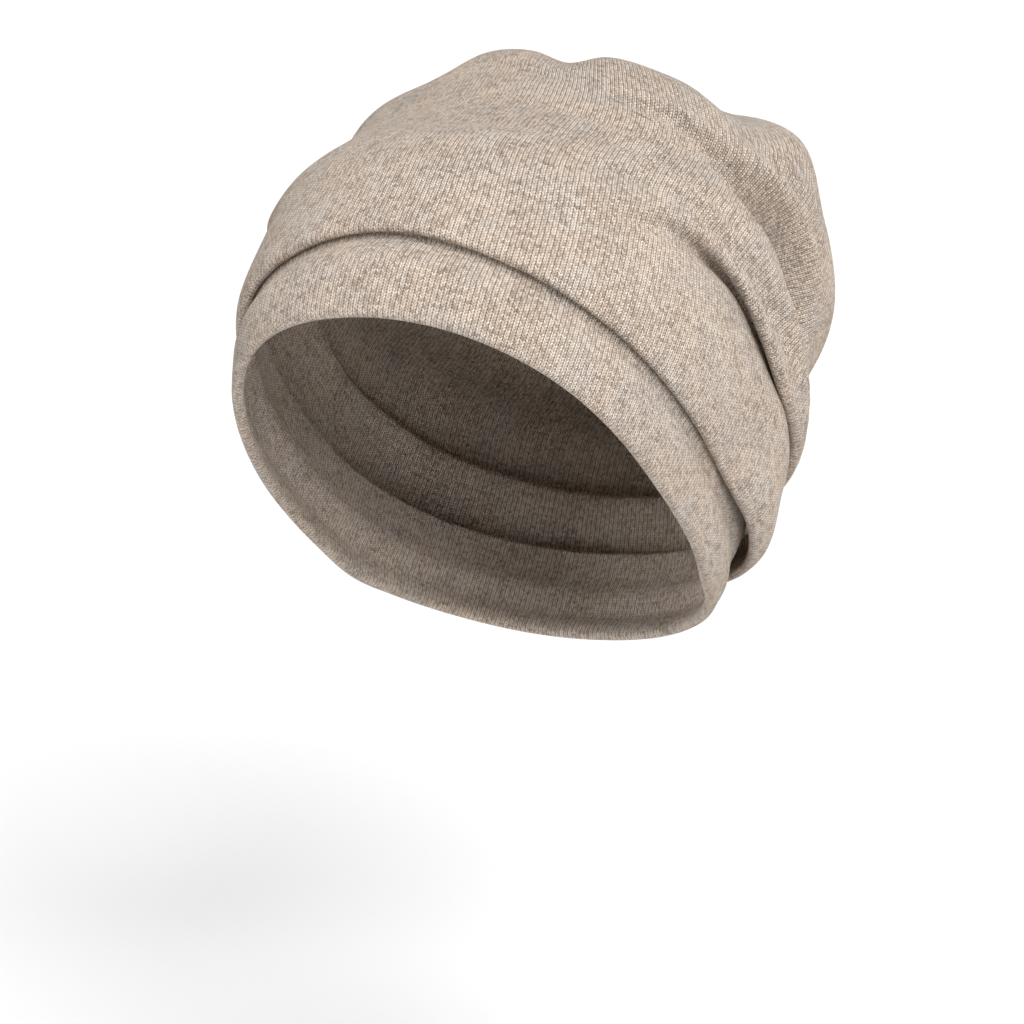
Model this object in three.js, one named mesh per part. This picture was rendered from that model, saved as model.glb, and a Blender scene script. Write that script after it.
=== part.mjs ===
// Knit turban hat in doubled jersey: a folded band, and a soft crown that hangs over itself in a tuck.
// Millimetres, +Z up, forehead towards -Y, wearer's left towards +X.
// The origin is the middle of the hollow that the hat is worn by, level with the brow.

import * as THREE from "three";

// Driving sizes
const TUBE_TILT = 48; // degrees that the tube of cloth leans back from upright
const SQUARENESS = 2.15; // power of the rings' outline, where 2 is an ellipse
const BAND_WALL = 2.6; // doubled jersey of the band
const BRIM_WALL = 4.2; // band's lower edge, folded over softly
const BRIM_DEPTH = 2; // how far up the brim keeps that thickness
const BRIM_FADE = 7; // stretch over which the brim thins to the plain wall
const CROWN_WALL = 1.8; // doubled jersey of the crown
const HEM_WALL = 4.4; // crown's lower edge, turned under once
const HEM_DEPTH = 10; // how far the turned edge reaches up inside
const HEM_FADE = 5; // stretch over which the hem thins to the plain wall
const BAND_TUCK = 16; // how far the band goes up inside the crown
const BAND_PUFF = 3.2; // how far the band swells out below the crown's edge
const PUFF_LENGTH = 12; // stretch of band over which it swells
const CLEARANCE = 0.35; // gap between band and crown
const UPPER_TURN = 3.8; // length of cloth that turns down into the tuck, 1.2 in radius where it turns fully
const LOWER_TURN = 7.5; // length of cloth in the tuck's lip, 2.4 in radius where it turns fully
const SHALLOW_TURN = 0.5; // share of those lengths that is left where the cloth hardly turns
const SINK_POWER = 1.6; // how late the side of the crown sinks in under the tuck
const FOLD_FADE = 0.4; // share of a fold's length over which it rises to its full height
const BAND_COLOUR = 0xb9a893;
const CROWN_COLOUR = 0xbfae9a;

// Fineness
const COLUMNS = 60; // points in each ring
const SIDE_ROWS = [0, 0.17, 0.3, 0.5, 0.7, 0.88]; // from the hem to the tuck, as shares
const UPPER_TURN_ROWS = 5;
const TUCK_ROWS = 2;
const LOWER_TURN_ROWS = 6;
const BAG_ROWS = [
  0, 0.04, 0.085, 0.13, 0.175, 0.22, 0.27, 0.32, 0.37, 0.42, 0.47, 0.52, 0.57, 0.63, 0.69, 0.77, 0.87, 1,
];
const TUCK_START = SIDE_ROWS.length;
const BAG_START = TUCK_START + UPPER_TURN_ROWS + TUCK_ROWS + LOWER_TURN_ROWS;
const BAND_ROWS = 7;
const EDGE_ROWS = 3; // points inside each rounded edge

// Rings of the tube: distance along the cloth, height up the tube, shift of the centre to the front,
// and half widths to the side, front and back
const RINGS = [
  { along: -34, up: -34, centre: -2, side: 77, front: 92, back: 97 },
  { along: -18, up: -18, centre: -2, side: 81, front: 100, back: 101 },
  { along: 8, up: 8, centre: -3, side: 87.5, front: 107.5, back: 106 },
  { along: 35, up: 35, centre: -2.5, side: 94, front: 102.5, back: 105 },
  { along: 65, up: 65, centre: 0, side: 93, front: 93.5, back: 106 },
  { along: 95, up: 95, centre: -11, side: 90.5, front: 84, back: 98 },
  { along: 122, up: 119.5, centre: -4, side: 86.5, front: 67, back: 65 },
  { along: 165, up: 134, centre: 2, side: 46, front: 40, back: 42 },
  { along: 212, up: 139, centre: 4, side: 2, front: 2, back: 2 },
];

// Edges by the angle from the forehead: the brim, the crown's lower edge and the tuck's lip, as heights
// along the cloth, then how far the cloth turns at the tuck and how deep the tuck is
const EDGES = [
  { angle: 0, brim: -7, hem: 25, lip: 52, turn: 1, depth: 2 },
  { angle: 30, brim: -9.5, hem: 16.5, lip: 47.5, turn: 4, depth: 2 },
  { angle: 45, brim: -12.5, hem: 11.5, lip: 48.5, turn: 24, depth: 2 },
  { angle: 60, brim: -16.5, hem: 7, lip: 55.8, turn: 66, depth: 1.5 },
  { angle: 75, brim: -20.5, hem: 3, lip: 54, turn: 140, depth: 1.5 },
  { angle: 90, brim: -23, hem: -0.5, lip: 43, turn: 172, depth: 4 },
  { angle: 105, brim: -25, hem: -3.5, lip: 36.5, turn: 180, depth: 5 },
  { angle: 118, brim: -27, hem: -4, lip: 34.5, turn: 180, depth: 5 },
  { angle: 132, brim: -24.5, hem: -3.5, lip: 32.5, turn: 180, depth: 5 },
  { angle: 150, brim: -21.5, hem: -1.5, lip: 32, turn: 180, depth: 5 },
  { angle: 180, brim: -20, hem: 0, lip: 31, turn: 180, depth: 5 },
];

// Soft folds round the crown: angle and height along the cloth at the start, middle and end, then the
// half width, and the height, which is negative in a valley. Angles grow towards the wearer's left.
const FOLDS = [
  { name: "left valley", start: [44, 93], middle: [82, 84], end: [118, 54], width: 9, height: -10 },
  { name: "left lip roll", start: [48, 70], middle: [82, 60], end: [122, 38], width: 7, height: 4.5 },
  { name: "left lip end", start: [84, 53], middle: [120, 40], end: [168, 28], width: 6, height: 2.9 },
  { name: "left lobe", start: [62, 118], middle: [92, 106], end: [142, 68], width: 11, height: 3.4 },
  { name: "left lobe shoulder", start: [56, 105], middle: [80, 94], end: [114, 72], width: 7, height: 3 },
  { name: "left tier swell", start: [86, 26], middle: [114, 25], end: [146, 20], width: 9, height: 3.8 },
  { name: "left side swell", start: [92, 6], middle: [126, 6], end: [160, 4], width: 12, height: 5 },
  { name: "front valley", start: [-24, 80], middle: [20, 70], end: [62, 62], width: 4.5, height: -1.3 },
  { name: "top valley", start: [-20, 116], middle: [24, 106], end: [66, 96], width: 4.5, height: -1.4 },
  { name: "right valley", start: [-110, 52], middle: [-72, 84], end: [-34, 100], width: 10, height: -5 },
  { name: "right lobe", start: [-126, 66], middle: [-92, 97], end: [-62, 112], width: 15, height: 2 },
  { name: "right side swell", start: [-154, 12], middle: [-122, 12], end: [-92, 8], width: 14, height: 3.5 },
];

// Gathers round the crown's top: height of each lobe, negative in a valley
const GATHERS = [
  { angle: -180, height: 1 },
  { angle: -163, height: -2 },
  { angle: -146, height: 2 },
  { angle: -128, height: -2 },
  { angle: -110, height: 2 },
  { angle: -92, height: -2 },
  { angle: -75, height: 1 },
  { angle: -58, height: -3 },
  { angle: -42, height: -4 },
  { angle: -26, height: -3.5 },
  { angle: -6, height: 2.4 },
  { angle: 8, height: 1.4 },
  { angle: 21, height: -3 },
  { angle: 34, height: 0.2 },
  { angle: 48, height: -1 },
  { angle: 57, height: -2.4 },
  { angle: 66, height: -5.5 },
  { angle: 75, height: -3.2 },
  { angle: 86, height: 4 },
  { angle: 99, height: -1 },
  { angle: 114, height: 2 },
  { angle: 131, height: -2 },
  { angle: 147, height: 2 },
  { angle: 163, height: -2 },
  { angle: 180, height: 1 },
];
const GATHER_CREST = 126; // distance along the cloth at which the gathers stand highest
const GATHER_BELOW = 17; // how far they fade down the side
const GATHER_ABOVE = 40; // how far they fade towards the closed end

const DEGREE = Math.PI / 180;
const SIDEWAYS = new THREE.Vector3(1, 0, 0);
const FRONTWARD = new THREE.Vector3(0, -Math.cos(TUBE_TILT * DEGREE), Math.sin(TUBE_TILT * DEGREE));
const UPWARD = new THREE.Vector3(0, Math.sin(TUBE_TILT * DEGREE), Math.cos(TUBE_TILT * DEGREE));

// Smooth curve through one column of a table
function readColumn(table, key, column, at) {
  const last = table.length - 1;
  const x = Math.min(Math.max(at, table[0][key]), table[last][key]);
  let row = 0;
  while (row < last - 1 && x >= table[row + 1][key]) row += 1;
  const slope = (i) => (table[i + 1][column] - table[i][column]) / (table[i + 1][key] - table[i][key]);
  const gradient = (i) => {
    if (i === 0) return slope(0);
    if (i === last) return slope(last - 1);
    const before = table[i][key] - table[i - 1][key];
    const after = table[i + 1][key] - table[i][key];
    return (slope(i - 1) * after + slope(i) * before) / (before + after);
  };
  const span = table[row + 1][key] - table[row][key];
  const t = (x - table[row][key]) / span;
  const rest = 1 - t;
  return (
    (1 + 2 * t) * rest * rest * table[row][column] +
    t * rest * rest * span * gradient(row) +
    t * t * (3 - 2 * t) * table[row + 1][column] -
    t * t * rest * span * gradient(row + 1)
  );
}

// Both halves of the hat have the same edges, so the table is read by the size of the angle, with a row
// repeated past each end to keep the edges level at the front and the back
const EDGE_TABLE = [
  { ...EDGES[1], angle: -EDGES[1].angle },
  ...EDGES,
  { ...EDGES.at(-2), angle: 360 - EDGES.at(-2).angle },
];

function edgeAt(angle, column) {
  return readColumn(EDGE_TABLE, "angle", column, Math.abs(angle));
}

function ringPoint(angle, along, out) {
  const read = (column) => readColumn(RINGS, "along", column, along);
  const sine = Math.sin(angle * DEGREE);
  const cosine = Math.cos(angle * DEGREE);
  const depth = cosine > 0 ? read("front") : read("back");
  const across = Math.abs(sine / read("side")) ** SQUARENESS;
  const ahead = Math.abs(cosine / depth) ** SQUARENESS;
  const radius = (across + ahead) ** (-1 / SQUARENESS) + out;
  return new THREE.Vector3()
    .addScaledVector(SIDEWAYS, radius * sine)
    .addScaledVector(FRONTWARD, read("centre") + radius * cosine)
    .addScaledVector(UPWARD, read("up"));
}

function foldHeight(fold, angle, level) {
  const [from, startLevel] = fold.start;
  const [between, middleLevel] = fold.middle;
  const [to, endLevel] = fold.end;
  if (angle <= from || angle >= to) return 0;
  const path =
    (startLevel * (angle - between) * (angle - to)) / ((from - between) * (from - to)) +
    (middleLevel * (angle - from) * (angle - to)) / ((between - from) * (between - to)) +
    (endLevel * (angle - from) * (angle - between)) / ((to - from) * (to - between));
  const share = (angle - from) / (to - from);
  const fade = THREE.MathUtils.smoothstep(Math.min(share, 1 - share), 0, FOLD_FADE);
  return fold.height * fade * Math.exp(-(((level - path) / fold.width) ** 2));
}

function reliefAt(angle, level) {
  const folds = FOLDS.reduce((sum, fold) => sum + foldHeight(fold, angle, level), 0);
  const reach = level < GATHER_CREST ? GATHER_BELOW : GATHER_ABOVE;
  const gather = readColumn(GATHERS, "angle", "height", angle);
  return folds + gather * Math.exp(-(((level - GATHER_CREST) / reach) ** 2));
}

// Radii of the tuck's upper and lower arcs, which hold less cloth where it turns less
function turnRadii(turn) {
  const share = SHALLOW_TURN + ((1 - SHALLOW_TURN) * turn) / Math.PI;
  return { upper: (UPPER_TURN * share) / turn, lower: (LOWER_TURN * share) / turn };
}

// Section of the tuck at one angle: where the crown's side ends and the bag above it starts, how far the
// side lies under the bag there, and the angle and depth of the turned cloth
function tuckAt(angle) {
  const turn = Math.min(Math.max(edgeAt(angle, "turn"), 1), 180) * DEGREE;
  const depth = Math.max(edgeAt(angle, "depth"), 1);
  const lip = edgeAt(angle, "lip");
  const { upper, lower } = turnRadii(turn);
  const upperOn = upper * Math.sin(turn);
  const upperAside = upper * (1 - Math.cos(turn));
  const rise = upperAside + lower * (1 - Math.cos(turn)) + depth * Math.sin(turn);
  const tucked = Math.max(Math.cos(turn), 0) * (upperOn + depth * Math.cos(turn));
  const bagStart = lip + lower * Math.sin(Math.min(turn, Math.PI / 2)) + tucked;
  const sideEnd = bagStart - upperOn - lower * Math.sin(turn) - depth * Math.cos(turn);
  return { turn, depth, lip, upper, lower, upperOn, upperAside, rise, bagStart, sideEnd };
}

// How far the crown's side has sunk in under the tuck
function sinkAt(angle, along) {
  const { rise, sideEnd } = tuckAt(angle);
  const hem = edgeAt(angle, "hem");
  return rise * Math.max((along - hem) / (sideEnd - hem), 0) ** SINK_POWER;
}

// The cloth of the crown from its lower edge to its closed end, at one angle. Each station has its place
// along the tube, its distance out from the ring there, and its level in the cloth, which never turns back.
function crownStations(angle) {
  const { turn, depth, lip, upper, lower, upperOn, upperAside, rise, bagStart, sideEnd } = tuckAt(angle);
  const hem = edgeAt(angle, "hem") + HEM_WALL / 2;
  const closedEnd = RINGS.at(-1).along;
  const stations = [];
  for (const t of SIDE_ROWS) {
    const along = hem + (sideEnd - hem) * t;
    stations.push({ along, out: -sinkAt(angle, along), level: hem + (lip - hem) * t });
  }
  for (let i = 0; i < UPPER_TURN_ROWS; i += 1) {
    const part = (turn * i) / UPPER_TURN_ROWS;
    const out = upper * (1 - Math.cos(part)) - rise;
    stations.push({ along: sideEnd + upper * Math.sin(part), out, level: lip });
  }
  for (let i = 0; i < TUCK_ROWS; i += 1) {
    const part = (depth * i) / TUCK_ROWS;
    const out = upperAside - rise + part * Math.sin(turn);
    stations.push({ along: sideEnd + upperOn + part * Math.cos(turn), out, level: lip });
  }
  for (let i = LOWER_TURN_ROWS; i > 0; i -= 1) {
    const part = (turn * i) / LOWER_TURN_ROWS;
    const out = -lower * (1 - Math.cos(part));
    stations.push({ along: bagStart - lower * Math.sin(part), out, level: lip });
  }
  for (const t of BAG_ROWS) {
    const along = bagStart + (closedEnd - bagStart) * t;
    stations.push({ along, out: 0, level: lip + (closedEnd - lip) * t });
  }
  return stations;
}

function bandStations(angle) {
  const hem = edgeAt(angle, "hem");
  const brim = edgeAt(angle, "brim") + BRIM_WALL / 2;
  const top = hem + BAND_TUCK;
  const stations = [];
  for (let i = 0; i <= BAND_ROWS; i += 1) {
    const along = brim + ((top - brim) * i) / BAND_ROWS;
    const puff = BAND_PUFF * THREE.MathUtils.smoothstep(hem - along, 0, PUFF_LENGTH);
    stations.push({ along, out: puff - HEM_WALL - CLEARANCE - sinkAt(angle, along) });
  }
  return stations;
}

function columnAngle(column) {
  return (360 * column) / COLUMNS - 180;
}

// Rows of points over the cloth's outer face, one row for each station
function outerRows(stationsAt) {
  const columns = [];
  for (let column = 0; column < COLUMNS; column += 1) {
    const angle = columnAngle(column);
    columns.push(stationsAt(angle).map(({ along, out }) => ringPoint(angle, along, out)));
  }
  return columns[0].map((_, row) => columns.map((points) => points[row]));
}

function directionsAt(rows, row, column) {
  const ring = rows[row];
  const round = ring[(column + 1) % COLUMNS].clone().sub(ring[(column + COLUMNS - 1) % COLUMNS]);
  const next = rows[Math.min(row + 1, rows.length - 1)][column];
  const climb = next.clone().sub(rows[Math.max(row - 1, 0)][column]).normalize();
  return { climb, outward: round.cross(climb).normalize() };
}

// Each point moved out of the cloth, along the direction that the cloth faces there or in another row
function moveOut(rows, distanceAt, facingRow = (row) => row) {
  return rows.map((ring, row) =>
    ring.map((point, column) => {
      const { outward } = directionsAt(rows, facingRow(row), column);
      return point.clone().addScaledVector(outward, distanceAt(row, column));
    }),
  );
}

// The tuck is moved as one, the way the bag's first row faces
function reliefFacing(row) {
  return row >= TUCK_START && row < BAG_START ? BAG_START : row;
}

// Half-round edge between the outer and inner face at the first or last row
function edgeRows(outer, inner, row, sense) {
  const rings = [];
  for (let step = 1; step <= EDGE_ROWS; step += 1) {
    const swing = (Math.PI * step) / (EDGE_ROWS + 1);
    rings.push(
      outer[row].map((point, column) => {
        const middle = point.clone().add(inner[row][column]).multiplyScalar(0.5);
        const half = point.clone().sub(middle);
        const { climb } = directionsAt(outer, row, column);
        return middle
          .addScaledVector(half, Math.cos(swing))
          .addScaledVector(climb, sense * half.length() * Math.sin(swing));
      }),
    );
  }
  return rings;
}

// Closed surface through rings in order. A ring joined to the first makes a tube closed on itself,
// and otherwise both ends are closed by a point.
function skinRings(rings, closesOnItself) {
  const positions = rings.flat().flatMap((point) => point.toArray());
  const indices = [];
  const bands = closesOnItself ? rings.length : rings.length - 1;
  for (let row = 0; row < bands; row += 1) {
    const low = row * COLUMNS;
    const high = ((row + 1) % rings.length) * COLUMNS;
    for (let column = 0; column < COLUMNS; column += 1) {
      const next = (column + 1) % COLUMNS;
      indices.push(low + column, low + next, high + next);
      indices.push(low + column, high + next, high + column);
    }
  }
  if (!closesOnItself) {
    const capRing = (ring, first, flip) => {
      const centre = ring.reduce((sum, point) => sum.add(point), new THREE.Vector3());
      const pole = positions.length / 3;
      positions.push(...centre.divideScalar(COLUMNS).toArray());
      for (let column = 0; column < COLUMNS; column += 1) {
        const here = first + column;
        const next = first + ((column + 1) % COLUMNS);
        indices.push(...(flip ? [pole, next, here] : [pole, here, next]));
      }
    };
    capRing(rings[0], 0, true);
    capRing(rings.at(-1), (rings.length - 1) * COLUMNS, false);
  }
  const geometry = new THREE.BufferGeometry();
  geometry.setAttribute("position", new THREE.Float32BufferAttribute(positions, 3));
  geometry.setIndex(indices);
  geometry.computeVertexNormals();
  return geometry;
}

function knitMesh(name, geometry, color) {
  const material = new THREE.MeshStandardMaterial({ color, roughness: 0.95, metalness: 0 });
  const mesh = new THREE.Mesh(geometry, material);
  mesh.name = name;
  return mesh;
}

// Wall of the cloth at one height above its lower edge: thick up to a depth, then thinning to the plain wall
function wallAt(above, edgeWall, plainWall, depth, fade) {
  return THREE.MathUtils.lerp(edgeWall, plainWall, THREE.MathUtils.smoothstep(above, depth, depth + fade));
}

function crownWallAt(angle, row, along) {
  if (row >= TUCK_START) return CROWN_WALL;
  return wallAt(along - edgeAt(angle, "hem"), HEM_WALL, CROWN_WALL, HEM_DEPTH, HEM_FADE);
}

function buildCrown() {
  const angles = Array.from({ length: COLUMNS }, (_, column) => columnAngle(column));
  const stations = angles.map(crownStations);
  const relief = (row, column) => reliefAt(angles[column], stations[column][row].level);
  const wall = (row, column) => -crownWallAt(angles[column], row, stations[column][row].along);
  const outer = moveOut(outerRows(crownStations), relief, reliefFacing);
  const inner = moveOut(outer, wall);
  const lowerEdge = edgeRows(outer, inner, 0, -1).reverse();
  const rings = [...inner.toReversed(), ...lowerEdge, ...outer];
  return knitMesh("crown", skinRings(rings, false), CROWN_COLOUR);
}

function buildBand() {
  const stations = Array.from({ length: COLUMNS }, (_, column) => bandStations(columnAngle(column)));
  const outer = outerRows(bandStations);
  const inner = moveOut(outer, (row, column) => {
    const above = stations[column][row].along - stations[column][0].along;
    return -wallAt(above, BRIM_WALL, BAND_WALL, BRIM_DEPTH, BRIM_FADE);
  });
  const upperEdge = edgeRows(outer, inner, outer.length - 1, 1);
  const brimEdge = edgeRows(outer, inner, 0, -1).reverse();
  const rings = [...outer, ...upperEdge, ...inner.toReversed(), ...brimEdge];
  return knitMesh("band", skinRings(rings, true), BAND_COLOUR);
}

const hat = new THREE.Group();
hat.add(buildBand(), buildCrown());

export default hat;
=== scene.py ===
"""Knit turban hat: the fine cloth of the band and the crown, their heather jersey, and a plain studio."""

import math

import bpy
import numpy as np
from mathutils import Matrix, Vector


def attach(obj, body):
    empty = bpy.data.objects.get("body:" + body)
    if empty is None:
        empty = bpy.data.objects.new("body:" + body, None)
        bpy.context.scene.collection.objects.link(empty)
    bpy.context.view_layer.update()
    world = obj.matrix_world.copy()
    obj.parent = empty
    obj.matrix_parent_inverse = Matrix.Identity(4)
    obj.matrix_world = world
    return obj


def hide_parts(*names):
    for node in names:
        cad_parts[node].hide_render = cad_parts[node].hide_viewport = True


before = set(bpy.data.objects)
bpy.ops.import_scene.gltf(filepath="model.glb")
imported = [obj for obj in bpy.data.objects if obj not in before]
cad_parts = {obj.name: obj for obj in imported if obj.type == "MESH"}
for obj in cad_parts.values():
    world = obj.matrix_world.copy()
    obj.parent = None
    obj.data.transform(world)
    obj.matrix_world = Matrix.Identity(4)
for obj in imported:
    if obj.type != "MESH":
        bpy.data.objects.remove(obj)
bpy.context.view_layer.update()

MM = 0.001

# The tube of cloth: how far it leans back, and how much squarer than ellipses its rings are
TUBE_TILT = math.radians(48)
SQUARENESS = 2.15

# Walls in millimetres, plain and at the thick edge, and how deep that edge is and how softly it thins
BAND_WALL = 2.6
BRIM_WALL = 4.2
BRIM_DEPTH = 2
BRIM_FADE = 7
CROWN_WALL = 1.8
HEM_WALL = 4.4
HEM_DEPTH = 10
HEM_FADE = 5

# The band: how far it goes up inside the crown, its puff below the crown's edge, and its gap to the crown
BAND_TUCK = 16
BAND_PUFF = 3.2
PUFF_LENGTH = 12
CLEARANCE = 0.35

# Finer than the solids: the crown's edge curls in, and the band is nipped in beside it
HEM_CURL = 1.9
CURL_LENGTH = 9
BAND_NIP = 0.9
NIP_REACH = 1.7

# The tuck: cloth in its two turns, how late the side sinks in under it, how much of the turns' cloth is left
# where it is shallow, and the least turn and depth that it is worked out for
UPPER_TURN = 3.8
LOWER_TURN = 7.5
SINK_POWER = 1.6
SHALLOW_TURN = 0.5
LEAST_TURN = 1
LEAST_DEPTH = 1

# Rings of the tube of cloth: distance along the cloth, height up the tube, shift of the centre to the
# front, and half widths to the side, front and back
RINGS = np.array([
    # along, up, centre, side, front, back
    (-34, -34, -2, 77, 92, 97),
    (-18, -18, -2, 81, 100, 101),
    (8, 8, -3, 87.5, 107.5, 106),
    (35, 35, -2.5, 94, 102.5, 105),
    (65, 65, 0, 93, 93.5, 106),
    (95, 95, -11, 90.5, 84, 98),
    (122, 119.5, -4, 86.5, 67, 65),
    (165, 134, 2, 46, 40, 42),
    (212, 139, 4, 2, 2, 2),
], float)

# Edges by the angle from the forehead: brim, crown's lower edge and the tuck's lip as heights along the
# cloth, then how many degrees the cloth turns at the tuck and how deep the tuck is
EDGES = np.array([
    # angle, brim, hem, lip, turn, depth
    (0, -7, 25, 52, 1, 2),
    (30, -9.5, 16.5, 47.5, 4, 2),
    (45, -12.5, 11.5, 48.5, 24, 2),
    (60, -16.5, 7, 55.8, 66, 1.5),
    (75, -20.5, 3, 55.5, 140, 1.5),
    (90, -23, -0.5, 44.5, 172, 4),
    (105, -25, -3.5, 36.5, 180, 5),
    (118, -27, -4, 34.5, 180, 5),
    (132, -24.5, -3.5, 32.5, 180, 5),
    (150, -21.5, -1.5, 32, 180, 5),
    (180, -20, 0, 31, 180, 5),
], float)

# Soft folds round the crown: angle and height along the cloth at the start, middle and end, then half
# width and height, negative in a valley. Both ends fade over the same share of the fold's length
FOLD_FADE = 0.4
FOLDS = [
    # name, start, middle, end, width, height
    ("left valley", (44, 93), (82, 84), (118, 54), 8, -10),
    ("left valley end", (68, 91), (98, 75), (130, 44), 7, -9),
    ("left lip roll", (48, 70), (82, 61), (122, 39), 6, 5),
    ("left lip end", (84, 53), (120, 40), (168, 28), 6, 2.9),
    ("left lip hollow", (52, 60), (80, 56.5), (112, 38), 4.5, -4.5),
    ("left lobe", (62, 118), (92, 106), (142, 68), 11, 3.4),
    ("left lobe shoulder", (56, 106), (82, 95), (118, 71), 5, 4.5),
    ("left tier swell", (86, 26), (114, 25), (146, 20), 9, 3.8),
    ("left side swell", (92, 6), (126, 6), (160, 4), 12, 5),
    ("front valley", (-24, 80), (20, 70), (62, 62), 4.5, -1.3),
    ("top valley", (-20, 116), (24, 106), (66, 96), 4.5, -1.4),
    ("brow ridge", (14, 45), (42, 47), (66, 46), 2.5, 1),
    ("front crease", (20, 58), (40, 57), (58, 57), 2, -1.2),
    ("top crease", (28, 92), (45, 88), (62, 86), 2, -1.2),
    ("right valley", (-110, 52), (-72, 84), (-34, 100), 10, -5),
    ("right lobe", (-126, 66), (-92, 97), (-62, 112), 15, 2),
    ("right side swell", (-154, 12), (-122, 12), (-92, 8), 14, 3.5),
]

# Gathers round the crown's top: angle and height of each lobe, negative in a valley
GATHERS = np.array([
    # angle, height
    (-180, 1), (-163, -2), (-146, 2), (-128, -2), (-110, 2), (-92, -2), (-75, 1), (-58, -3),
    (-42, -4), (-26, -3.5), (-6, 2.4), (8, 1.4), (21, -3), (34, 0.2), (48, -1), (57, -2.4),
    (66, -5.5), (75, -3.2), (86, 4), (99, -1), (114, 2), (131, -2), (147, 2), (163, -2), (180, 1),
], float)

# Height along the cloth where the gathers are deepest, and how far they reach below and above it
GATHER_CREST = 126
GATHER_BELOW = 17
GATHER_ABOVE = 40

# Fine tension ripples of the crown's left front, which run side by side down towards the tuck
RIPPLES = [
    # spacing, drift per degree, height
    (8.5, 0.03, 0.7),
    (13, -0.05, 1),
    (19, 0.04, 0.9),
]

# How far the ripples fall for each degree, where and how strongly they bend further down, and the angles and
# heights at which they start, are full, fade and end
RIPPLE_FALL = 0.2
RIPPLE_BEND_FROM = 50
RIPPLE_BEND = 0.004
RIPPLE_ANGLES = (12, 50, 78, 104)
RIPPLE_LEVELS = (54, 64, 96, 114)

# Fineness of the meshes
COLUMNS = 440
SIDE_ROWS = 38
UPPER_TURN_ROWS = 12
TUCK_ROWS = 6
LOWER_TURN_ROWS = 16
BAG_ROWS = 88
BAND_ROWS = 48
EDGE_ROWS = 8
INNER_STEP = 3
BAG_START = SIDE_ROWS + UPPER_TURN_ROWS + TUCK_ROWS + LOWER_TURN_ROWS

# The knit: width of a wale on each piece and height of a course
BAND_WALE = 1.6
CROWN_WALE = 1.77
COURSE = 1.02

SIDEWAYS = np.array([1.0, 0, 0])
FRONTWARD = np.array([0, -math.cos(TUBE_TILT), math.sin(TUBE_TILT)])
UPWARD = np.array([0, math.sin(TUBE_TILT), math.cos(TUBE_TILT)])


def read_table(table, at):
    """Smooth curves through a table's rows, whose first column is what they are read by."""
    key, value = table[:, 0], table[:, 1:]
    step = np.diff(key)[:, None]
    slope = np.diff(value, axis=0) / step
    gradient = np.empty_like(value)
    gradient[0], gradient[-1] = slope[0], slope[-1]
    gradient[1:-1] = (slope[:-1] * step[1:] + slope[1:] * step[:-1]) / (step[:-1] + step[1:])
    at = np.clip(at, key[0], key[-1])
    row = np.clip(np.searchsorted(key, at, side="right") - 1, 0, len(key) - 2)
    span = (key[row + 1] - key[row])[..., None]
    t = (at - key[row])[..., None] / span
    rest = 1 - t
    start = (1 + 2 * t) * rest**2 * value[row] + t * rest**2 * span * gradient[row]
    end = t**2 * (3 - 2 * t) * value[row + 1] - t**2 * rest * span * gradient[row + 1]
    return np.moveaxis(start + end, -1, 0)


def smoothstep(x, low, high):
    t = np.clip((x - low) / (high - low), 0, 1)
    return t * t * (3 - 2 * t)


def edges_at(angle):
    """Brim, hem, lip, turn and depth at each angle. A mirrored row carries the table past each end."""
    before = EDGES[1] * [-1, 1, 1, 1, 1, 1]
    after = EDGES[-2] * [-1, 1, 1, 1, 1, 1] + [360, 0, 0, 0, 0, 0]
    return read_table(np.vstack([before, EDGES, after]), np.abs(angle))


def ring_points(angle, along, out):
    """Points of the tube at each angle and distance along the cloth, moved out from the ring there."""
    up, centre, side, front, back = read_table(RINGS, along)
    sine, cosine = np.sin(np.radians(angle)), np.cos(np.radians(angle))
    ahead = np.where(cosine > 0, front, back)
    radius = (np.abs(sine / side) ** SQUARENESS + np.abs(cosine / ahead) ** SQUARENESS) ** (-1 / SQUARENESS)
    radius = radius + out
    across = (radius * sine)[..., None] * SIDEWAYS
    forward = (centre + radius * cosine)[..., None] * FRONTWARD
    return across + forward + up[..., None] * UPWARD


def turn_radii(turn):
    """Radii of the upper and lower arcs of the tuck, which hold less cloth where it turns less."""
    share = SHALLOW_TURN + (1 - SHALLOW_TURN) * turn / math.pi
    return UPPER_TURN * share / turn, LOWER_TURN * share / turn


def tuck_at(angle):
    """Section of the tuck at each angle, as the solid has it."""
    _, hem, lip, turn, depth = edges_at(angle)
    turn = np.radians(np.clip(turn, LEAST_TURN, 180))
    depth = np.maximum(depth, LEAST_DEPTH)
    upper, lower = turn_radii(turn)
    upper_on, upper_aside = upper * np.sin(turn), upper * (1 - np.cos(turn))
    rise = upper_aside + lower * (1 - np.cos(turn)) + depth * np.sin(turn)
    tucked = np.maximum(np.cos(turn), 0) * (upper_on + depth * np.cos(turn))
    bag_start = lip + lower * np.sin(np.minimum(turn, math.pi / 2)) + tucked
    side_end = bag_start - upper_on - lower * np.sin(turn) - depth * np.cos(turn)
    return {
        "hem": hem, "lip": lip, "turn": turn, "depth": depth, "rise": rise, "upper": upper, "lower": lower,
        "upper_on": upper_on, "upper_aside": upper_aside, "bag_start": bag_start, "side_end": side_end,
    }


def sink(tuck, along):
    """How far the crown's side has sunk in under the tuck."""
    share = np.maximum((along - tuck["hem"]) / (tuck["side_end"] - tuck["hem"]), 0)
    return tuck["rise"] * share**SINK_POWER


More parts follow.
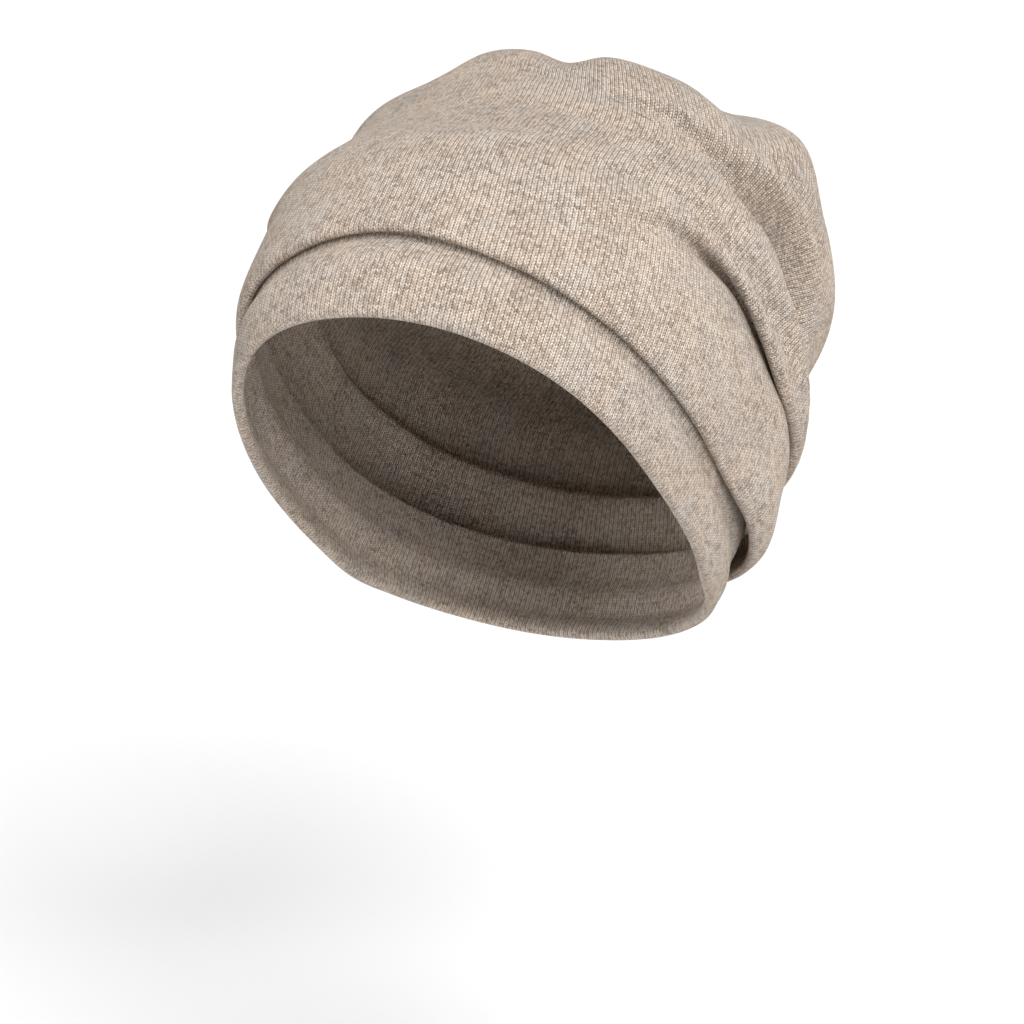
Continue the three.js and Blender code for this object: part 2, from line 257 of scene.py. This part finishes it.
def crown_stations(angle):
    """Along, out and level of each row of the crown's outer face, from the hem to the closed end."""
    tuck = tuck_at(angle)
    turn, lip, rise = tuck["turn"], tuck["lip"], tuck["rise"]
    hem = tuck["hem"] + HEM_WALL / 2
    closed_end = RINGS[-1, 0]
    rows = []
    for t in np.linspace(0, 1, SIDE_ROWS, endpoint=False):
        along = hem + (tuck["side_end"] - hem) * t
        rows.append((along, -sink(tuck, along), hem + (lip - hem) * t))
    for t in np.linspace(0, 1, UPPER_TURN_ROWS, endpoint=False):
        out = tuck["upper"] * (1 - np.cos(turn * t)) - rise
        rows.append((tuck["side_end"] + tuck["upper"] * np.sin(turn * t), out, lip))
    for t in np.linspace(0, 1, TUCK_ROWS, endpoint=False):
        along = tuck["side_end"] + tuck["upper_on"] + tuck["depth"] * t * np.cos(turn)
        rows.append((along, tuck["upper_aside"] - rise + tuck["depth"] * t * np.sin(turn), lip))
    for t in np.linspace(1, 0, LOWER_TURN_ROWS, endpoint=False):
        along = tuck["bag_start"] - tuck["lower"] * np.sin(turn * t)
        rows.append((along, -tuck["lower"] * (1 - np.cos(turn * t)), lip))
    for t in np.linspace(0, 1, BAG_ROWS):
        along = tuck["bag_start"] + (closed_end - tuck["bag_start"]) * t
        rows.append((along, 0 * along, lip + (closed_end - lip) * t))
    return [np.array(column) for column in zip(*rows)]


def band_stations(angle):
    """Along and out of each row of the band's outer face, from the brim to its hidden top."""
    tuck = tuck_at(angle)
    brim = edges_at(angle)[0] + BRIM_WALL / 2
    top = tuck["hem"] + BAND_TUCK
    along = brim + (top - brim) * np.linspace(0, 1, BAND_ROWS)[:, None]
    puff = BAND_PUFF * smoothstep(tuck["hem"] - along, 0, PUFF_LENGTH)
    nip = BAND_NIP * np.exp(-(((along - tuck["hem"]) / NIP_REACH) ** 2))
    return along, puff - nip - HEM_WALL - CLEARANCE - sink(tuck, along)


def fold_height(angle, level, start, middle, end, width, height):
    (a, at_a), (b, at_b), (c, at_c) = start, middle, end
    path = at_a * (angle - b) * (angle - c) / ((a - b) * (a - c))
    path = path + at_b * (angle - a) * (angle - c) / ((b - a) * (b - c))
    path = path + at_c * (angle - a) * (angle - b) / ((c - a) * (c - b))
    share = (angle - a) / (c - a)
    fade = smoothstep(share, 0, FOLD_FADE) * smoothstep(1 - share, 0, FOLD_FADE)
    return height * fade * np.exp(-(((level - path) / width) ** 2))


def window(x, start, full, fading, end):
    """1 from full to fading, and 0 before start and after end."""
    return smoothstep(x, start, full) * smoothstep(-x, -end, -fading)


def ripple_height(angle, level):
    bend = RIPPLE_BEND * np.maximum(angle - RIPPLE_BEND_FROM, 0) ** 2
    across = level + RIPPLE_FALL * angle + bend
    waves = 0
    for spacing, drift, height in RIPPLES:
        waves = waves + height * np.sin(math.tau * across / spacing + drift * angle)
    return waves * window(angle, *RIPPLE_ANGLES) * window(level, *RIPPLE_LEVELS)


def crown_relief(angle, level):
    relief = sum(fold_height(angle, level, *fold[1:]) for fold in FOLDS)
    relief = relief + ripple_height(angle, level)
    reach = np.where(level < GATHER_CREST, GATHER_BELOW, GATHER_ABOVE)
    gather = read_table(GATHERS, angle)[0]
    return relief + gather * np.exp(-(((level - GATHER_CREST) / reach) ** 2))


def directions(rows):
    """Unit vectors up the cloth and out of it at each point."""
    around = np.roll(rows, -1, axis=1) - np.roll(rows, 1, axis=1)
    climb = np.gradient(rows, axis=0)
    climb = climb / np.linalg.norm(climb, axis=-1, keepdims=True)
    outward = np.cross(around, climb)
    return climb, outward / np.linalg.norm(outward, axis=-1, keepdims=True)


def move_out(rows, distance):
    return rows + directions(rows)[1] * distance[..., None]


def edge_rings(outer, inner, row, sense):
    """Half-round edge from the outer to the inner face at one end of the cloth."""
    climb = directions(outer)[0][row]
    middle = (outer[row] + inner[row]) / 2
    half = outer[row] - middle
    thickness = np.linalg.norm(half, axis=-1, keepdims=True)
    swings = np.linspace(0, math.pi, EDGE_ROWS + 2)[1:-1]
    return np.array([middle + half * math.cos(s) + climb * sense * thickness * math.sin(s) for s in swings])


def cloth_lengths(rings):
    """Distance walked up the cloth to each point, which is the knit's second coordinate."""
    steps = np.linalg.norm(np.diff(rings, axis=0), axis=-1)
    return np.vstack([np.zeros((1, rings.shape[1])), np.cumsum(steps, axis=0)])


def ring_faces(rows, columns):
    """Row and column of each corner of the faces between rings, all the way round."""
    row, column = np.meshgrid(np.arange(rows - 1), np.arange(columns), indexing="ij")
    row, column = row.ravel(), column.ravel()
    corner_rows = np.stack([row, row, row + 1, row + 1], 1)
    return corner_rows, np.stack([column, column + 1, column + 1, column], 1)


def closing_fan(ring, columns, pole, order):
    """Triangles from one end's ring of points to its pole, and the column that each corner is counted by."""
    start = np.arange(columns)
    first = ring * columns
    corners = np.stack([first + start, first + np.roll(start, -1), np.full(columns, pole)], 1)
    counted = np.stack([start, start + 1, start], 1)
    return corners[:, ::order], counted[:, ::order]


def build_piece(name, points, faces, uv):
    mesh = bpy.data.meshes.new(name)
    mesh.from_pydata((points * MM).tolist(), [], faces)
    mesh.uv_layers.new(name="knit").data.foreach_set("uv", uv.ravel())
    mesh.shade_smooth()
    piece = bpy.data.objects.new(name, mesh)
    bpy.context.scene.collection.objects.link(piece)
    return piece


def skin(name, rings, zero_row, wale_width, closes_on_itself):
    """Mesh through the rings in order, with the knit's wales and courses counted in a UV map."""
    count, columns = rings.shape[:2]
    if closes_on_itself:
        rings = np.concatenate([rings, rings[:1]])
    girth = np.linalg.norm(np.diff(rings[zero_row], axis=0), axis=-1).sum()
    wales = round(girth / wale_width)
    lengths = cloth_lengths(rings)
    courses = (lengths - lengths[zero_row]) / COURSE
    corner_rows, corner_columns = ring_faces(len(rings), columns)
    points = rings[:count].reshape(-1, 3)
    faces = ((corner_rows % count) * columns + corner_columns % columns).tolist()
    up_cloth = courses[corner_rows, corner_columns % columns]
    uv = [np.stack([corner_columns * wales / columns, up_cloth], -1)]
    if not closes_on_itself:
        for ring, order in ((0, -1), (count - 1, 1)):
            fan, counted = closing_fan(ring, columns, len(points), order)
            points = np.vstack([points, rings[ring].mean(axis=0)])
            faces += fan.tolist()
            uv.append(np.stack([counted * wales / columns, np.full(fan.shape, courses[ring].mean())], -1))
    return build_piece(name, points, faces, np.concatenate([part.reshape(-1, 2) for part in uv]))


def sparse_rows(count):
    """Every few rows and the last one, which are enough for the plain inner face."""
    return np.r_[0:count - 1:INNER_STEP, count - 1]


ANGLES = np.arange(COLUMNS) * 360 / COLUMNS - 180


def make_crown():
    along, out, level = crown_stations(ANGLES)
    angle = np.broadcast_to(ANGLES, along.shape)
    tube = ring_points(angle, along, out)
    outward = directions(tube)[1]
    outward[SIDE_ROWS:BAG_START] = outward[BAG_START]
    above = along - edges_at(ANGLES)[1]
    curl = HEM_CURL * np.clip(1 - above / CURL_LENGTH, 0, 1) ** 2
    curl[SIDE_ROWS:] = 0
    outer = tube + outward * (crown_relief(angle, level) - curl)[..., None]
    thinned = smoothstep(above, HEM_DEPTH, HEM_DEPTH + HEM_FADE)
    thinned[SIDE_ROWS:] = 1
    inner = move_out(outer, curl - HEM_WALL - (CROWN_WALL - HEM_WALL) * thinned)
    hem_edge = edge_rings(outer, inner, 0, -1)[::-1]
    sparse = sparse_rows(len(inner))
    rings = np.concatenate([inner[sparse][::-1], hem_edge, outer])
    return skin("crown_cloth", rings, len(sparse) + EDGE_ROWS, CROWN_WALE, False)


def make_band():
    along, out = band_stations(ANGLES)
    outer = ring_points(np.broadcast_to(ANGLES, along.shape), along, out)
    thinned = smoothstep(along - along[0], BRIM_DEPTH, BRIM_DEPTH + BRIM_FADE)
    inner = move_out(outer, -(BRIM_WALL + (BAND_WALL - BRIM_WALL) * thinned))
    top_edge = edge_rings(outer, inner, -1, 1)
    brim_edge = edge_rings(outer, inner, 0, -1)[::-1]
    rings = np.concatenate([outer, top_edge, inner[sparse_rows(len(inner))][::-1], brim_edge])
    return skin("band_cloth", rings, 0, BAND_WALE, True)


class Nodes:
    """Short names for the shader nodes of one material."""

    def __init__(self, material):
        material.use_nodes = True
        self.tree = material.node_tree
        self.tree.nodes.clear()

    def add(self, kind, **settings):
        node = self.tree.nodes.new(kind)
        for key, value in settings.items():
            setattr(node, key, value)
        return node

    def feed(self, socket, value):
        if isinstance(value, bpy.types.NodeSocket):
            self.tree.links.new(value, socket)
        else:
            socket.default_value = value

    def math(self, operation, first, second=0.0, third=0.0):
        node = self.add("ShaderNodeMath", operation=operation)
        for socket, value in zip(node.inputs, (first, second, third)):
            self.feed(socket, value)
        return node.outputs[0]

    def vector(self, x, y, z=0.0):
        node = self.add("ShaderNodeCombineXYZ")
        for socket, value in zip(node.inputs, (x, y, z)):
            self.feed(socket, value)
        return node.outputs[0]

    def noise(self, vector, scale, detail, roughness):
        node = self.add("ShaderNodeTexNoise")
        self.feed(node.inputs["Vector"], vector)
        node.inputs["Scale"].default_value = scale
        node.inputs["Detail"].default_value = detail
        node.inputs["Roughness"].default_value = roughness
        return node.outputs["Fac"]

    def ramp(self, value, stops):
        node = self.add("ShaderNodeValToRGB")
        elements = node.color_ramp.elements
        while len(elements) < len(stops):
            elements.new(0.5)
        for element, (position, colour) in zip(elements, stops):
            element.position = position
            element.color = (*colour, 1)
        self.feed(node.inputs["Fac"], value)
        return node.outputs["Color"]

    def multiply(self, first, second):
        node = self.add("ShaderNodeMix", data_type="RGBA", blend_type="MULTIPLY")
        self.feed(node.inputs["Factor"], 1.0)
        self.feed(node.inputs["A"], first)
        self.feed(node.inputs["B"], second)
        return node.outputs["Result"]


# Colours of the fibres, the painted shade that darkens the gaps between the stitches, and the fibres' soft
# change over the hat
DARK_FIBRE = (0.2, 0.145, 0.108)
GREY_FIBRE = (0.385, 0.312, 0.256)
OAT_FIBRE = (0.575, 0.478, 0.397)
CREAM_FIBRE = (0.77, 0.672, 0.58)
PAINTED_GAP_SHADE = (0.14, 0.09, 0.065)
NO_SHADE = (1, 1, 1)
COOL_TINT = (0.97, 0.995, 1.02)
WARM_TINT = (1.02, 1.0, 0.97)
FIBRE_STOPS = ((0.1, DARK_FIBRE), (0.33, GREY_FIBRE), (0.56, OAT_FIBRE), (0.9, CREAM_FIBRE))
# Painted shade: the low parts of each stitch, its gaps and grooves, are darkened towards this colour
PAINTED_GAP_SHADE_STOPS = ((0.0, PAINTED_GAP_SHADE), (0.5, NO_SHADE))
TINT_STOPS = ((0.35, COOL_TINT), (0.65, WARM_TINT))

# Shape of a stitch: how far its two legs lean, in courses, how narrow the groove beside it is, how the seam
# between its legs rises, and the share of its height that each loop's round back gives
LEG_LEAN = 0.8
GROOVE_POWER = 3
SEAM_FLOOR = 0.3
SEAM_RISE = 2.4
LOOP_SHARE = 0.8
STITCH_HEIGHT = 0.0005
FUZZ_RELIEF = 0.25

# Heather: how many wales and courses a streak of yarn covers, how much each layer adds to the shade, and
# how far the sum is lowered
STREAK_WALES = 5
STREAK_COURSES = 1.3
LEG_SHARE = 0.52
STREAK_SHARE = 0.75
MOTTLE_SHARE = 0.3
FUZZ_SHARE = 0.65
SHADE_DROP = 0.485

NOISES = {
    # name: scale, detail, roughness
    "streak": (1, 2, 0.6),
    "mottle": (55, 2, 0.6),
    "tint": (70, 1, 0.5),
    "fuzz": (2600, 2, 0.7),
}

JERSEY_FINISH = {
    "Roughness": 0.95,
    "Specular IOR Level": 0.15,
    "Sheen Weight": 0.12,
    "Sheen Roughness": 0.5,
    "Sheen Tint": (0.95, 0.88, 0.8, 1),
}


def stitch(nodes):
    """Height of the knit's face, place across the wales, and the leg and course that each point is in."""
    uv = nodes.add("ShaderNodeUVMap", uv_map="knit").outputs["UV"]
    split = nodes.add("ShaderNodeSeparateXYZ")
    nodes.feed(split.inputs[0], uv)
    u, v = split.outputs["X"], split.outputs["Y"]
    from_middle = nodes.math("ABSOLUTE", nodes.math("SUBTRACT", nodes.math("FRACT", u), 0.5))
    aside = nodes.math("MULTIPLY", from_middle, 2)
    phase = nodes.math("MULTIPLY_ADD", aside, -LEG_LEAN, v)
    along_leg = nodes.math("MULTIPLY_ADD", nodes.math("FRACT", phase), 2, -1)
    rounded = nodes.math("SUBTRACT", 1, nodes.math("MULTIPLY", along_leg, along_leg))
    groove = nodes.math("SUBTRACT", 1, nodes.math("POWER", aside, GROOVE_POWER))
    seam = nodes.math("MINIMUM", nodes.math("MULTIPLY_ADD", aside, SEAM_RISE, SEAM_FLOOR), 1)
    across = nodes.math("MULTIPLY", groove, seam)
    height = nodes.math("MULTIPLY", across, nodes.math("MULTIPLY_ADD", rounded, LOOP_SHARE, 1 - LOOP_SHARE))
    leg = nodes.math("FLOOR", nodes.math("MULTIPLY", u, 2))
    return height, u, leg, nodes.math("FLOOR", phase)


def heather(nodes, place, fuzz, u, leg, course):
    """Colour of the yarn: each leg of a stitch has its own fibres, and darker yarn shows as streaks."""
    one_leg = nodes.add("ShaderNodeTexWhiteNoise", noise_dimensions="2D")
    nodes.feed(one_leg.inputs["Vector"], nodes.vector(leg, course))
    wales, courses = nodes.math("DIVIDE", u, STREAK_WALES), nodes.math("DIVIDE", course, STREAK_COURSES)
    streak = nodes.noise(nodes.vector(wales, courses), *NOISES["streak"])
    mottle = nodes.noise(place, *NOISES["mottle"])
    shade = nodes.math("MULTIPLY", streak, STREAK_SHARE)
    shade = nodes.math("MULTIPLY_ADD", one_leg.outputs["Value"], LEG_SHARE, shade)
    shade = nodes.math("MULTIPLY_ADD", mottle, MOTTLE_SHARE, shade)
    shade = nodes.math("MULTIPLY_ADD", fuzz, FUZZ_SHARE, shade)
    fibre = nodes.ramp(nodes.math("SUBTRACT", shade, SHADE_DROP), FIBRE_STOPS)
    tint = nodes.ramp(nodes.noise(place, *NOISES["tint"]), TINT_STOPS)
    return nodes.multiply(fibre, tint)


def jersey(name):
    """Heather jersey, with painted shade darkening the stitches' gaps, and their faces raised."""
    material = bpy.data.materials.new(name)
    nodes = Nodes(material)
    height, u, leg, course = stitch(nodes)
    place = nodes.add("ShaderNodeTexCoord").outputs["Object"]
    fuzz = nodes.noise(place, *NOISES["fuzz"])
    # The ramp over the stitch height paints shade into the gaps between the stitches
    colour = nodes.multiply(heather(nodes, place, fuzz, u, leg, course), nodes.ramp(height, PAINTED_GAP_SHADE_STOPS))
    bump = nodes.add("ShaderNodeBump")
    bump.inputs["Strength"].default_value = 1.0
    bump.inputs["Distance"].default_value = STITCH_HEIGHT
    nodes.feed(bump.inputs["Height"], nodes.math("MULTIPLY_ADD", fuzz, FUZZ_RELIEF, height))
    surface = nodes.add("ShaderNodeBsdfPrincipled")
    nodes.feed(surface.inputs["Base Color"], colour)
    nodes.feed(surface.inputs["Normal"], bump.outputs["Normal"])
    for socket, value in JERSEY_FINISH.items():
        surface.inputs[socket].default_value = value
    output = nodes.add("ShaderNodeOutputMaterial")
    nodes.feed(output.inputs["Surface"], surface.outputs["BSDF"])
    return material


def plain_material(name, colour, roughness):
    material = bpy.data.materials.new(name)
    nodes = Nodes(material)
    surface = nodes.add("ShaderNodeBsdfPrincipled")
    surface.inputs["Base Color"].default_value = (*colour, 1)
    surface.inputs["Roughness"].default_value = roughness
    nodes.feed(nodes.add("ShaderNodeOutputMaterial").inputs["Surface"], surface.outputs["BSDF"])
    return material


# Camera, as the photo was taken: degrees round from the front and up, roll, metres and pixels
CAMERA_AZIMUTH = math.radians(31.7)
CAMERA_ELEVATION = math.radians(16.5)
CAMERA_ROLL = math.radians(-9.5)
CAMERA_DISTANCE = 0.9
FOCAL_PIXELS = 2640
PHOTO_WIDTH = 1024
SENSOR_MM = 36
ORIGIN_PIXEL = (490.5, 457.5)


def direction_to(azimuth, elevation):
    """Unit vector towards what stands so far round from the front and up, both in radians."""
    flat = Vector((math.sin(azimuth), -math.cos(azimuth), 0))
    return flat * math.cos(elevation) + Vector((0, 0, math.sin(elevation)))


def make_camera():
    back = direction_to(CAMERA_AZIMUTH, CAMERA_ELEVATION)
    right = Vector((math.cos(CAMERA_AZIMUTH), math.sin(CAMERA_AZIMUTH), 0))
    turned = Matrix((right, back.cross(right), back)).transposed()
    rotation = turned @ Matrix.Rotation(CAMERA_ROLL, 3, "Z")
    across = (PHOTO_WIDTH / 2 - ORIGIN_PIXEL[0]) * CAMERA_DISTANCE / FOCAL_PIXELS
    above = (ORIGIN_PIXEL[1] - PHOTO_WIDTH / 2) * CAMERA_DISTANCE / FOCAL_PIXELS
    place = rotation @ Vector((across, above, CAMERA_DISTANCE))
    data = bpy.data.cameras.new("camera")
    data.sensor_width = SENSOR_MM
    data.lens = FOCAL_PIXELS / PHOTO_WIDTH * SENSOR_MM
    camera = bpy.data.objects.new("camera", data)
    camera.matrix_world = Matrix.Translation(place) @ rotation.to_4x4()
    bpy.context.scene.collection.objects.link(camera)
    bpy.context.scene.camera = camera


# Floor: its height under the origin, half its width, in metres, and its paint
FLOOR_HEIGHT = -0.32
FLOOR_HALF = 40
FLOOR_COLOUR = (0.83, 0.83, 0.83)
FLOOR_ROUGHNESS = 0.8


def make_floor():
    signs = ((-1, -1), (1, -1), (1, 1), (-1, 1))
    corners = [(across * FLOOR_HALF, along * FLOOR_HALF, FLOOR_HEIGHT) for across, along in signs]
    mesh = bpy.data.meshes.new("floor")
    mesh.from_pydata(corners, [], [(0, 1, 2, 3)])
    floor = bpy.data.objects.new("floor", mesh)
    floor.data.materials.append(plain_material("pale_floor", FLOOR_COLOUR, FLOOR_ROUGHNESS))
    bpy.context.scene.collection.objects.link(floor)


# Soft suns: degrees round from the front and up, spread in degrees, strength
LIGHTS = [
    # name, azimuth, elevation, spread, strength
    ("key", 60, 35, 28, 3.1),
    ("top", 95, 62, 30, 1.9),
    ("fill", -50, 6, 40, 2.05),
    ("rim", 205, 8, 40, 0.7),
]
WORLD_LIGHT = 0.1


def make_lights():
    for name, azimuth, elevation, spread, strength in LIGHTS:
        data = bpy.data.lights.new(name, "SUN")
        data.angle = math.radians(spread)
        data.energy = strength
        light = bpy.data.objects.new(name, data)
        towards = direction_to(math.radians(azimuth), math.radians(elevation))
        light.rotation_euler = towards.to_track_quat("Z", "Y").to_euler()
        bpy.context.scene.collection.objects.link(light)
    world = bpy.data.worlds.new("studio")
    world.use_nodes = True
    background = world.node_tree.nodes["Background"]
    background.inputs["Color"].default_value = (1.0, 1.0, 1.0, 1)
    background.inputs["Strength"].default_value = WORLD_LIGHT
    bpy.context.scene.world = world


def dress(piece, node, material):
    piece.data.materials.append(material)
    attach(piece, "root")
    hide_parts(node)


make_camera()
band = make_band()
crown = make_crown()
dress(band, "band", jersey("band_jersey"))
dress(crown, "crown", jersey("crown_jersey"))
make_floor()
make_lights()
bpy.context.scene.view_settings.view_transform = "Standard"
